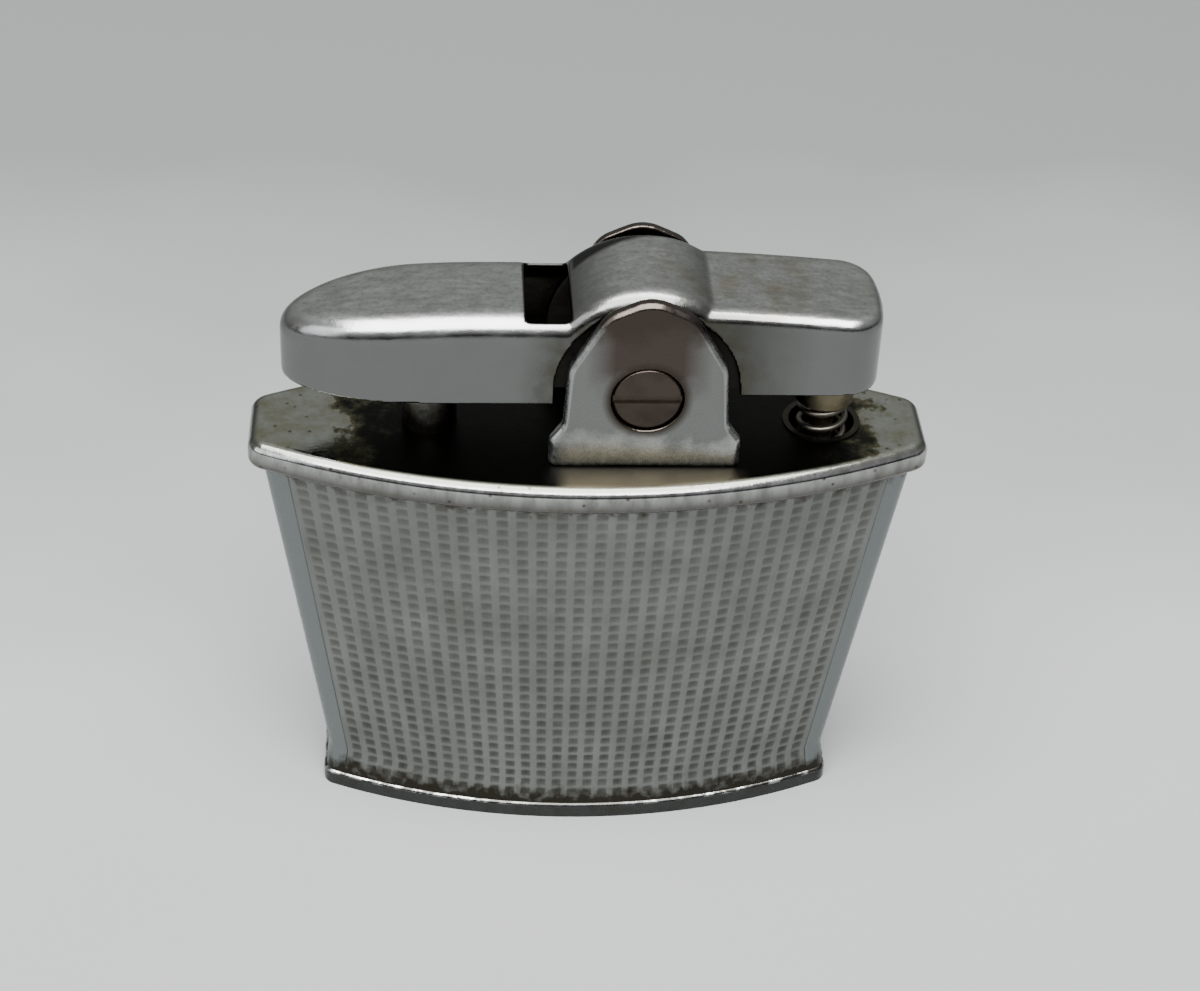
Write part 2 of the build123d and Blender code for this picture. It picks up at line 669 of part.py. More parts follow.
def make_return_spring():
    bottom = WELL_BOTTOM + WELL_FLOOR + 0.03
    top = HEAD_BOTTOM - 0.03
    return coil(RETURN_SPRING_R, RETURN_SPRING_WIRE_R, bottom, top, RETURN_SPRING_TURNS, PLUNGER_X)


# ---- write every piece ---------------------------------------------------------------------------
PIECES = {
    "case_shell": make_case_shell(),
    "deck_plate": make_deck_plate(),
    "base_foot": make_base_foot(),
    "front_bracket": make_bracket(-1),
    "rear_bracket": make_bracket(1),
    "axle_sleeve": make_axle_sleeve(),
    "axle_screws": make_axle_screws(),
    "wick_tube": make_wick_tube(),
    "wick": make_wick(),
    "cotton_lower": make_cotton(0),
    "cotton_middle": make_cotton(1),
    "cotton_upper": make_cotton(2),
    "felt_pad": make_felt_pad(),
    "flint_tube": make_flint_tube(),
    "flint": make_flint(),
    "flint_follower": make_flint_follower(),
    "flint_spring": make_flint_spring(),
    "flint_screw": make_flint_screw(),
    "filler_bush": make_filler_bush(),
    "filler_screw": make_filler_screw(),
    "filler_gasket": make_filler_gasket(),
    "lift_arm": make_lift_arm(),
    "pivot_yoke": make_pivot_yoke(),
    "flint_wheel": make_flint_wheel(),
    "ratchet_wheel": make_ratchet_wheel(),
    "pawl": make_pawl(),
    "pawl_pin": make_pawl_pin(),
    "pawl_spring": make_pawl_spring(),
    "snuffer_cup": make_snuffer_cup(),
    "snuffer_stem": make_snuffer_stem(),
    "snuffer_spring": make_snuffer_spring(),
    "return_plunger": make_return_plunger(),
    "return_spring": make_return_spring(),
    "spring_well": make_spring_well(),
}

for name, solid in PIECES.items():
    export_step(solid, f"parts/{name}.step")
    size = solid.bounding_box().size
    print(f"{name:16s} {size.X:6.2f} {size.Y:6.2f} {size.Z:6.2f}  {len(solid.solids())} solid(s)")
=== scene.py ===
import math

import bmesh
import bpy
import numpy as np
from mathutils import Euler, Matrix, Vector


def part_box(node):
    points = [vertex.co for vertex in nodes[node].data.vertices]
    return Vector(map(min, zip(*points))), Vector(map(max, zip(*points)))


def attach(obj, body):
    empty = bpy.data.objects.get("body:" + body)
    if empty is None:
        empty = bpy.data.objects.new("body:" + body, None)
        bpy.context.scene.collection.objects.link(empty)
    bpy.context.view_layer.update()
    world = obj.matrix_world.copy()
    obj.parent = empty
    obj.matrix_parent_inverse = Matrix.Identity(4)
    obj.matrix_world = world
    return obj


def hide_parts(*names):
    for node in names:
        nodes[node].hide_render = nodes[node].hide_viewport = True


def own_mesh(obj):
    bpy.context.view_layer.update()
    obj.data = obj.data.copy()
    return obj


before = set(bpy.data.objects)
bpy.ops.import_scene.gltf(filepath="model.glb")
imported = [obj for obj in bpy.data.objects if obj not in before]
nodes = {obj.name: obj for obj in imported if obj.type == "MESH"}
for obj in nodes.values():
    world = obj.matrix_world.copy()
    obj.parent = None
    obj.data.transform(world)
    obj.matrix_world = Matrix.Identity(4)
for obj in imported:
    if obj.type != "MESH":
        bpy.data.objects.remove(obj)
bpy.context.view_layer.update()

# A lift-arm pocket lighter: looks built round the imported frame. Metres, +Z up, the front faces -Y.
MM = 0.001


# ---- camera, floor and light ---------------------------------------------------------------------
CAMERA_DISTANCE = 180 * MM
CAMERA_AZIMUTH = math.radians(-4.5)
CAMERA_ELEVATION = math.radians(36)
CAMERA_ROLL = math.radians(2.77)
CAMERA_TARGET = Vector((1.0, 0.0, 24.1)) * MM
CAMERA_LENS = 77.67
CAMERA_CLIP = (0.01, 20)
FLOOR_REACH = 3.0
FLOOR_COLOR = (0.180, 0.185, 0.182)
# Painted light falloff: floor colours from the front to the back, darkest at the back.
FLOOR_FALLOFF_STOPS = [
    (0.0, (0.158, 0.161, 0.160)), (0.45, (0.180, 0.183, 0.182)), (1.0, (0.083, 0.087, 0.085)),
]
FLOOR_SPAN = (-60, 90)
LIGHT_TARGET = (0, 0, 0.02)
ROOM_STRENGTH = 1.5
ROOM_BLEND = (-0.3, 0.3)
ROOM_FRONT = [
    (0.0, (0.012, 0.012, 0.014)), (0.12, (0.012, 0.012, 0.014)), (0.26, (0.26, 0.25, 0.27)),
    (0.6, (0.40, 0.39, 0.41)), (0.93, (0.9, 0.9, 0.9)),
]
ROOM_BEHIND = [
    (0.0, (0.16, 0.165, 0.16)), (0.45, (0.36, 0.37, 0.355)), (0.75, (0.44, 0.45, 0.435)),
    (0.93, (0.9, 0.9, 0.9)),
]


def make_camera():
    """Camera a little left of the front, looking down, turned slightly about its own axis."""
    away = Vector((
        math.sin(CAMERA_AZIMUTH) * math.cos(CAMERA_ELEVATION),
        -math.cos(CAMERA_AZIMUTH) * math.cos(CAMERA_ELEVATION),
        math.sin(CAMERA_ELEVATION),
    ))
    camera = bpy.data.objects.new("camera", bpy.data.cameras.new("camera"))
    bpy.context.scene.collection.objects.link(camera)
    camera.data.lens = CAMERA_LENS
    camera.data.clip_start, camera.data.clip_end = CAMERA_CLIP
    camera.location = CAMERA_TARGET + away * CAMERA_DISTANCE
    aim = (-away).to_track_quat("-Z", "Y").to_euler()
    camera.rotation_euler = (aim.to_matrix() @ Euler((0, 0, CAMERA_ROLL)).to_matrix()).to_euler()
    bpy.context.scene.camera = camera


def make_floor():
    """Pale paper floor, reaching far behind the part, with a painted light falloff that darkens it
    towards the back.
    """
    mesh = bpy.data.meshes.new("floor")
    corners = [(x * FLOOR_REACH, y * FLOOR_REACH, 0) for x, y in ((-1, -1), (1, -1), (1, 1), (-1, 1))]
    mesh.from_pydata(corners, [], [(0, 1, 2, 3)])
    floor = bpy.data.objects.new("floor", mesh)
    bpy.context.scene.collection.objects.link(floor)
    material, shader = new_material("floor_paper", FLOOR_COLOR, roughness=0.75)
    uneven = clouds(material, 0.02, 0.3, 0.7, -12, 12, detail=2)
    distance = total(material, axis(material, "Y"), uneven)
    link_color(material, shader, ramp(material, rescale(material, distance, *FLOOR_SPAN), FLOOR_FALLOFF_STOPS))
    mesh.materials.append(material)


def add_area(name, location, size, watts, color):
    """A soft box that faces the part."""
    lamp = bpy.data.lights.new(name, "AREA")
    lamp.shape = "RECTANGLE"
    lamp.size, lamp.size_y = size
    lamp.energy = watts
    lamp.color = color
    light = bpy.data.objects.new(name, lamp)
    bpy.context.scene.collection.objects.link(light)
    light.location = location
    light.rotation_euler = (Vector(LIGHT_TARGET) - Vector(location)).to_track_quat("-Z", "Y").to_euler()


def make_lights():
    """A broad soft box overhead and a weak one from the left."""
    add_area(
        "overhead", location=(-0.06, -0.29, 0.70), size=(0.85, 0.78), watts=46.0,
        color=(0.975, 1.0, 0.985),
    )
    add_area(
        "left_fill", location=(-0.7, -0.35, 0.35), size=(0.5, 0.5), watts=2.6,
        color=(0.95, 0.98, 1.0),
    )


def make_world():
    """Room light by direction: bright overhead, grey behind, and dark at the front horizon."""
    world = bpy.data.worlds.new("studio")
    bpy.context.scene.world = world
    world.use_nodes = True
    background = world.node_tree.nodes["Background"]
    direction = add_node(world, "ShaderNodeTexCoord").outputs["Generated"]
    split = add_node(world, "ShaderNodeSeparateXYZ", Vector=direction)
    up = split.outputs["Z"]
    front = ramp(world, up, ROOM_FRONT)
    behind = ramp(world, up, ROOM_BEHIND)
    share = rescale(world, split.outputs["Y"], *ROOM_BLEND)
    room = mix_color(world, share, front, behind)
    world.node_tree.links.new(room, background.inputs["Color"])
    background.inputs["Strength"].default_value = ROOM_STRENGTH


# ---- material helpers ----------------------------------------------------------------------------
PART_MIDDLE = (0.0, 0.0, 33.0)


def new_material(name, color, roughness=0.5, metallic=0.0):
    """A material with a Principled shader; what is constant sits on the shader's own sockets."""
    material = bpy.data.materials.new(name)
    material.use_nodes = True
    shader = material.node_tree.nodes["Principled BSDF"]
    shader.inputs["Base Color"].default_value = (*color, 1)
    shader.inputs["Roughness"].default_value = roughness
    shader.inputs["Metallic"].default_value = metallic
    return material, shader


def add_node(material, kind, **inputs):
    """A node whose named inputs are linked where a socket is given and set where a value is."""
    node = material.node_tree.nodes.new(kind)
    for name, value in inputs.items():
        socket = node.inputs[name.replace("_", " ")]
        if isinstance(value, bpy.types.NodeSocket):
            material.node_tree.links.new(value, socket)
        else:
            socket.default_value = value
    return node


def coords(material, stretch=(1, 1, 1)):
    """Object coordinates in millimetres, divided by stretch."""
    source = add_node(material, "ShaderNodeTexCoord").outputs["Object"]
    scale = [1 / (MM * s) for s in stretch]
    return add_node(material, "ShaderNodeMapping", Vector=source, Scale=scale).outputs[0]


def noise(material, per_mm, detail=4, roughness=0.55, stretch=(1, 1, 1)):
    """Smooth noise with per_mm features a millimetre, about 0 to 1."""
    node = add_node(
        material, "ShaderNodeTexNoise", Vector=coords(material, stretch),
        Scale=per_mm, Detail=detail, Roughness=roughness,
    )
    return node.outputs[0]


def spots(material, per_mm, low, high):
    """1 in the middle of scattered cells, 0 between them."""
    node = add_node(material, "ShaderNodeTexVoronoi", Vector=coords(material), Scale=per_mm)
    return rescale(material, node.outputs["Distance"], low, high, 1, 0)


def rescale(material, value, low, high, to_low=0.0, to_high=1.0):
    """A value's range low to high mapped to another, and clamped."""
    node = add_node(
        material, "ShaderNodeMapRange", Value=value,
        From_Min=low, From_Max=high, To_Min=to_low, To_Max=to_high,
    )
    return node.outputs[0]


def clouds(material, per_mm, low, high, to_low=0.0, to_high=1.0, **kind):
    """Noise, its range low to high mapped to another; kind is passed on to noise()."""
    return rescale(material, noise(material, per_mm, **kind), low, high, to_low, to_high)


def ramp(material, value, stops):
    """A colour ramp through (position, colour) stops."""
    node = add_node(material, "ShaderNodeValToRGB", Fac=value)
    elements = node.color_ramp.elements
    while len(elements) < len(stops):
        elements.new(0.5)
    for element, (position, color) in zip(elements, stops):
        element.position = position
        element.color = (*color, 1)
    return node.outputs[0]


def combine(material, operation, first, second):
    """One arithmetic step on two values, clamped to 0 to 1."""
    node = material.node_tree.nodes.new("ShaderNodeMath")
    node.operation = operation
    node.use_clamp = True
    for socket, value in zip(node.inputs, (first, second)):
        if isinstance(value, bpy.types.NodeSocket):
            material.node_tree.links.new(value, socket)
        else:
            socket.default_value = value
    return node.outputs[0]


def times(material, first, second):
    """The product of two values, clamped to 0 to 1."""
    return combine(material, "MULTIPLY", first, second)


def mix_color(material, share, first, second):
    """Colour first at share 0 and second at share 1."""
    node = material.node_tree.nodes.new("ShaderNodeMix")
    node.data_type = "RGBA"
    sockets = (node.inputs[0], node.inputs[6], node.inputs[7])
    for socket, value in zip(sockets, (share, first, second)):
        if isinstance(value, bpy.types.NodeSocket):
            material.node_tree.links.new(value, socket)
        else:
            socket.default_value = value if isinstance(value, float) else (*value, 1)
    return node.outputs[2]  # the colour result; the inputs above are the factor and the two colours


def bump(material, shader, height, distance_mm, strength=1.0):
    """Fine relief from a height value."""
    node = add_node(
        material, "ShaderNodeBump", Height=height, Distance=distance_mm * MM, Strength=strength
    )
    material.node_tree.links.new(node.outputs[0], shader.inputs["Normal"])


def link_color(material, shader, color):
    """Let a colour socket drive the base colour."""
    material.node_tree.links.new(color, shader.inputs["Base Color"])


def link_roughness(material, shader, value):
    """Let a value socket drive the roughness."""
    material.node_tree.links.new(value, shader.inputs["Roughness"])


def attribute(material, name):
    """A value stored on the mesh's points."""
    node = material.node_tree.nodes.new("ShaderNodeAttribute")
    node.attribute_name = name
    return node.outputs["Fac"]


def facing(material, letter, absolute=False):
    """How far the surface looks along one axis, -1 to 1, or 0 to 1 either way."""
    normal = add_node(material, "ShaderNodeTexCoord").outputs["Normal"]
    value = add_node(material, "ShaderNodeSeparateXYZ", Vector=normal).outputs[letter]
    return combine(material, "ABSOLUTE", value, 0.0) if absolute else value


def facing_up(material):
    """1 where the surface looks up, 0 where it is upright or looks down."""
    return rescale(material, facing(material, "Z"), 0.75, 0.98)


def facing_in(material):
    """1 where the surface looks towards the middle of the part, 0 where it looks away."""
    normal = add_node(material, "ShaderNodeTexCoord").outputs["Normal"]
    away = add_node(material, "ShaderNodeVectorMath")
    away.operation = "SUBTRACT"
    material.node_tree.links.new(coords(material), away.inputs[0])
    away.inputs[1].default_value = PART_MIDDLE
    product = add_node(material, "ShaderNodeVectorMath")
    product.operation = "DOT_PRODUCT"
    material.node_tree.links.new(normal, product.inputs[0])
    material.node_tree.links.new(away.outputs[0], product.inputs[1])
    return rescale(material, product.outputs["Value"], -0.2, 0.4, 1.0, 0.0)


def axis(material, letter):
    """One object coordinate in millimetres."""
    return add_node(material, "ShaderNodeSeparateXYZ", Vector=coords(material)).outputs[letter]


def radial(material, x, z):
    """Distance in millimetres from the upright-plane point (x, z)."""
    away = add_node(material, "ShaderNodeVectorMath")
    away.operation = "SUBTRACT"
    material.node_tree.links.new(coords(material), away.inputs[0])
    away.inputs[1].default_value = (x, 0, z)
    flat = add_node(material, "ShaderNodeVectorMath")
    flat.operation = "MULTIPLY"
    material.node_tree.links.new(away.outputs[0], flat.inputs[0])
    flat.inputs[1].default_value = (1, 0, 1)
    length = add_node(material, "ShaderNodeVectorMath")
    length.operation = "LENGTH"
    material.node_tree.links.new(flat.outputs[0], length.inputs[0])
    return length.outputs["Value"]


def total(material, first, second):
    """The unclamped sum of two values."""
    node = add_node(material, "ShaderNodeMath")
    node.operation = "ADD"
    material.node_tree.links.new(first, node.inputs[0])
    material.node_tree.links.new(second, node.inputs[1])
    return node.outputs[0]


def within(material, value, low, high, soft):
    """1 between low and high, fading to 0 over soft outside them."""
    rising = rescale(material, value, low - soft, low)
    falling = rescale(material, value, high, high + soft, 1.0, 0.0)
    return times(material, rising, falling)


def worn_metal(name, color, tarnish, roughness, scratch=0.3, pits=0.0, tarnish_share=0.4):
    """Plated metal with cloudy tarnish, hairline scratches and optional small pits."""
    material, shader = new_material(name, color, metallic=1.0)
    cloud = noise(material, 0.35, detail=5)
    share = rescale(material, cloud, 0.42, 0.72, 0.0, tarnish_share)
    link_color(material, shader, mix_color(material, share, color, tarnish))
    fine = noise(material, 3.0, detail=5, stretch=(4, 1, 1))
    link_roughness(material, shader, rescale(material, fine, 0.3, 0.7, roughness[0], roughness[1]))
    hairlines = noise(material, 9.0, detail=3, stretch=(9, 1.5, 1))
    relief = times(material, hairlines, scratch)
    if pits:
        holes = spots(material, 2.2, 0.12, 0.30)
        relief = combine(material, "SUBTRACT", relief, times(material, holes, pits))
    bump(material, shader, relief, 0.012)
    return material


# ---- finishes ------------------------------------------------------------------------------------
# Colours are linear. Places are millimetres in the part's frame, given as (from, to).
CHROME = (0.265, 0.270, 0.268)
BROWN = (0.035, 0.026, 0.020)
# Near-black for painted dark: the arm's painted reflection on the deck and painted shade on the arm.
PAINTED_BLACK = (0.0015, 0.0015, 0.001)
AXLE_Z = 35.7
AXLE_X = 3.4
WINDOW_X = (-4.7, -1.6)
WINDOW_HALF = 3.72
STRIP_PLATE = (0.144, 0.154, 0.156)
PIT_GRIME = (0.038, 0.037, 0.031)
# Grime with painted shade at the bottom of the case, by the foot.
LOW_GRIME_AND_SHADE = (0.018, 0.015, 0.010)
# Painted shadow on the case under the deck's rim.
UNDER_RIM_SHADOW = (0.040, 0.032, 0.025)
SETTLED_Z = (4.0, 20.0)
LOW_GRIME_AND_SHADE_Z = (1.7, 2.7)
UNDER_RIM_SHADOW_Z = (27.9, 28.5)
OLIVE = (0.080, 0.068, 0.045)
# Deck rim colours, all painted light: a painted floor reflection on the upright face, painted shade on
# the top rounding that dims its highlight, and a painted shadow line along its bottom.
RIM_REFLECTION_DIM = (0.21, 0.21, 0.20)
RIM_REFLECTION_BRIGHT = (0.36, 0.365, 0.36)
RIM_ROUNDING_SHADE = (0.12, 0.12, 0.108)
RIM_SHADOW_LINE = (0.055, 0.048, 0.042)
DECK_FLAT_Z = (30.38, 30.49)
RIM_ROUND_Z = (30.10, 30.3)
RIM_SHADOW_Z = (28.9, 29.9)
# Where the painted dark reflection of the arm's underside fades out along the deck.
REFLECTION_LEFT_X = (-17.5, -14.0)
REFLECTION_RIGHT_X = (16.5, 20.0)
BRACKET_FOOT_Y = (-7.6, -5.6)
ARM_CLOUD = (0.20, 0.195, 0.178)
ARM_SPECKLE = (0.13, 0.135, 0.125)
ARM_STAIN = (0.15, 0.13, 0.085)
# Painted shade for the arm's upright faces.
ARM_SIDE_SHADE = (0.108, 0.111, 0.109)
# Painted shade that dims the highlights on the hump and thumb piece.
ARM_DIMMED_HIGHLIGHT = (0.045, 0.045, 0.040)
# Darker brown round the arch.
ARM_ARCH_DARK = (0.042, 0.036, 0.022)
# Soot with painted shade on the arm's inward faces.
ARM_INSIDE_SOOT_AND_SHADE = (0.012, 0.011, 0.009)
HUMP_SLANT = -0.3
BRACKET_CLOUD = (0.19, 0.18, 0.16)
# Painted shade for the bracket's broad faces.
BRACKET_FACE_SHADE = (0.128, 0.130, 0.127)
# Painted reflection on the bracket's face below the screw.
BRACKET_LOW_REFLECTION = (0.42, 0.42, 0.41)
BRACKET_BROWN = (0.050, 0.036, 0.031)
# Painted shade that dims the crown's highlight.
BRACKET_CROWN_DIMMED = (0.045, 0.036, 0.031)
# Painted shade for the bracket's inward faces.
BRACKET_INSIDE_SHADE = (0.02, 0.018, 0.014)
# Foot plating painted dark as shade, dimming its highlights.
FOOT_PLATE_DIMMED = (0.046, 0.048, 0.048)
FOOT_CLOUD = (0.038, 0.036, 0.032)
# Wear with a painted highlight on the foot's lip.
FOOT_WORN_HIGHLIGHT = (0.55, 0.55, 0.53)
# Grime with painted shade where the foot meets the case.
FOOT_SEAM_GRIME_AND_SHADE = (0.06, 0.05, 0.038)
FOOT_HALF = 20
FOOT_LIP_Z = (1.02, 1.17)
TUBE_Z = (31.0, 35.5)
CHAR_Z = (31.0, 35.0)
COTTON_CREAM = (0.6, 0.55, 0.44)
FIBRE_DARK = (0.12, 0.10, 0.08)


def patterned_chrome():
    """Warm plating with wear: grime in the pits, most of it low down and near the strips, grime with
    painted shade along the bottom by the foot, and a painted shadow along the top under the deck's rim.
    """
    material, shader = new_material("patterned_chrome", CHROME, metallic=1.0)
    depth = attribute(material, "pit")
    plain = attribute(material, "plain")
    height = axis(material, "Z")
    cloud = noise(material, 0.25, detail=5)
    plate = ramp(material, cloud, [
        (0.30, (0.126, 0.127, 0.119)), (0.55, (0.152, 0.154, 0.147)), (0.8, (0.180, 0.182, 0.178)),
    ])
    plate = mix_color(material, plain, plate, STRIP_PLATE)
    patchy = clouds(material, 0.6, 0.25, 0.7, 0.55, 1.0, detail=5)
    settled = rescale(material, height, *SETTLED_Z, 1.0, 0.62)
    held = times(material, patchy, settled)
    grime = times(material, rescale(material, depth, 0.25, 1.0), held)
    color = mix_color(material, grime, plate, PIT_GRIME)
    ragged = total(material, height, clouds(material, 1.1, 0.3, 0.7, -0.5, 0.7, detail=5))
    # Grime and painted shade along the bottom, where the case meets the foot.
    low = rescale(material, ragged, *LOW_GRIME_AND_SHADE_Z, 0.95, 0.0)
    color = mix_color(material, low, color, LOW_GRIME_AND_SHADE)
    # Painted shadow along the case's top, under the deck's overhanging rim.
    high = rescale(material, ragged, *UNDER_RIM_SHADOW_Z, 0.0, 0.9)
    link_color(material, shader, mix_color(material, high, color, UNDER_RIM_SHADOW))
    wear = clouds(material, 2.5, 0.3, 0.7, 0.26, 0.42, detail=4)
    dull = combine(material, "ADD", wear, times(material, depth, 0.2))
    link_roughness(material, shader, dull)
    bump(material, shader, noise(material, 5.0, detail=5), 0.016, 0.8)
    return material


def deck_chrome():
    """Near-mirror plating with a painted dark reflection of the arm's underside across the middle,
    olive round the brackets, and cleaner towards the two ends; the rim's colours are painted reflection
    and painted shade.
    """
    material, shader = new_material("deck_chrome", CHROME, metallic=1.0)
    across = axis(material, "X")
    height = axis(material, "Z")
    # Painted reflection: the deck's flat top under the arm is painted black, olive at its edges, as a
    # mirror of the arm's dark underside.
    wander = clouds(material, 0.45, 0.25, 0.75, -3.2, 3.2, detail=6, roughness=0.65)
    place = total(material, across, wander)
    left = rescale(material, place, *REFLECTION_LEFT_X)
    right = rescale(material, place, *REFLECTION_RIGHT_X, 1.0, 0.0)
    under_arm_reflection = times(material, left, right)
    flat = rescale(material, height, *DECK_FLAT_Z)
    under_arm_reflection = times(material, under_arm_reflection, flat)
    clean = ramp(material, noise(material, 0.6, detail=6, roughness=0.65), [
        (0.35, (0.19, 0.185, 0.13)), (0.5, (0.24, 0.245, 0.215)), (0.68, (0.29, 0.30, 0.285)),
    ])
    reflection_fringe = ramp(material, under_arm_reflection, [
        (0.0, (0.27, 0.275, 0.26)), (0.25, (0.10, 0.095, 0.055)), (0.7, (0.012, 0.012, 0.007)),
        (1.0, PAINTED_BLACK),
    ])
    color = mix_color(material, rescale(material, under_arm_reflection, 0.0, 0.3), clean, reflection_fringe)
    foot = times(
        material,
        rescale(material, axis(material, "Y"), *BRACKET_FOOT_Y, 0.9, 0.0),
        within(material, across, AXLE_X - 5.0, AXLE_X + 6.0, 1.0),
    )
    foot = times(material, foot, flat)
    color = mix_color(material, foot, color, OLIVE)
    # Painted reflection on the rim's upright face, flecked brighter and darker along its length.
    sparkle = clouds(material, 1.1, 0.36, 0.60, detail=5, roughness=0.65, stretch=(1, 1, 3))
    rim_reflection = mix_color(material, sparkle, RIM_REFLECTION_DIM, RIM_REFLECTION_BRIGHT)
    # Painted shade on the rim's top rounding, dimming its highlight.
    rounded = rescale(material, height, *RIM_ROUND_Z)
    rim = mix_color(material, rounded, rim_reflection, RIM_ROUNDING_SHADE)
    # Painted shadow line along the bottom of the rim.
    rim_shadow_mask = rescale(material, height, *RIM_SHADOW_Z, 0.85, 0.0)
    rim = mix_color(material, rim_shadow_mask, rim, RIM_SHADOW_LINE)
    color = mix_color(material, combine(material, "SUBTRACT", 1.0, flat), color, rim)
    clear = combine(material, "SUBTRACT", 0.8, under_arm_reflection)
    dots = times(material, spots(material, 0.9, 0.05, 0.16), clear)
    link_color(material, shader, mix_color(material, dots, color, BROWN))
    shine = clouds(material, 1.6, 0.3, 0.75, 0.10, 0.22, detail=5)
    link_roughness(material, shader, combine(material, "ADD", shine, times(material, under_arm_reflection, 0.25)))
    bump(material, shader, noise(material, 3.4, detail=4, stretch=(1, 1, 2)), 0.010, 0.7)
    return material


def arm_chrome():
    """Plating with wear, mottled on the flat top; soot with painted shade on every face that looks
    inwards, painted shade on the upright faces, the hump's roundings and rear rounding and the wheel
    window, and darker round the arch.
    """
    material, shader = new_material("arm_chrome", CHROME, metallic=1.0)
    cloud = clouds(material, 0.45, 0.40, 0.75, 0.0, 0.6, detail=6, roughness=0.6)
    base = mix_color(material, cloud, CHROME, ARM_CLOUD)
    top = facing_up(material)
    speckle = clouds(material, 3.2, 0.45, 0.66, detail=6, roughness=0.7)
    marks = times(material, times(material, top, speckle), 0.55)
    color = mix_color(material, marks, base, ARM_SPECKLE)
    stain = times(
        material,
        clouds(material, 0.5, 0.45, 0.70, 0.0, 0.7, detail=5),
        within(material, axis(material, "X"), AXLE_X + 3.0, AXLE_X + 9.0, 3.0),
    )
    color = mix_color(material, stain, color, ARM_STAIN)
    # Painted shade: faces that stand upright are painted darker than the top.
    upright = rescale(material, facing(material, "Z"), 0.2, 0.6, 0.85, 0.0)
    color = mix_color(material, upright, color, ARM_SIDE_SHADE)
    # Painted shade over the hump's and thumb piece's roundings and sides, dimming their highlights.
    dull = times(
        material,
        within(material, axis(material, "X"), 0.5, 9.0, 5.5),
        rescale(material, facing(material, "Z"), 0.75, 0.97, 1.0, 0.0),
    )
    color = mix_color(material, times(material, dull, 0.76), color, ARM_DIMMED_HIGHLIGHT)
    # Blotchy brown darkening on the upright faces round the arch.
    by_arch = rescale(material, radial(material, AXLE_X, AXLE_Z), 5.9, 8.6, 0.85, 0.0)
    blotched = clouds(material, 0.9, 0.35, 0.6, 0.25, 1.0, detail=5, roughness=0.6)
    arch_darkening = times(material, times(material, by_arch, blotched), upright)
    color = mix_color(material, arch_darkening, color, ARM_ARCH_DARK)
    # Painted shade: the rear top of the hump, right of the window, is painted black.
    slanted = add_node(material, "ShaderNodeMath")
    slanted.operation = "MULTIPLY_ADD"
    material.node_tree.links.new(axis(material, "X"), slanted.inputs[0])
    slanted.inputs[1].default_value = HUMP_SLANT
    material.node_tree.links.new(axis(material, "Y"), slanted.inputs[2])
    over_snuffer = rescale(material, axis(material, "Z"), AXLE_Z + 5.42, AXLE_Z + 5.6)
    right_of_window = rescale(material, axis(material, "X"), -1.95, -1.75)
    hump_rear_shade = times(
        material,
        rescale(material, slanted.outputs[0], 2.0, 2.5),
        times(material, over_snuffer, right_of_window),
    )
    color = mix_color(material, times(material, hump_rear_shade, 0.95), color, PAINTED_BLACK)
    # Painted shade: the wheel window's cut faces are painted black.
    window_shade = times(
        material,
        within(material, axis(material, "X"), *WINDOW_X, 0.1),
        within(material, axis(material, "Y"), -WINDOW_HALF, WINDOW_HALF, 0.1),
    )
    color = mix_color(material, times(material, window_shade, 0.95), color, PAINTED_BLACK)
    # Soot with painted shade on every face that looks inwards.
    link_color(material, shader, mix_color(material, facing_in(material), color, ARM_INSIDE_SOOT_AND_SHADE))
    smooth = clouds(material, 2.0, 0.3, 0.7, 0.15, 0.28, detail=5, stretch=(3, 1, 1))
    link_roughness(material, shader, combine(material, "ADD", smooth, times(material, top, 0.10)))
    bump(material, shader, noise(material, 3.2, detail=5), 0.014, 0.6)
    return material


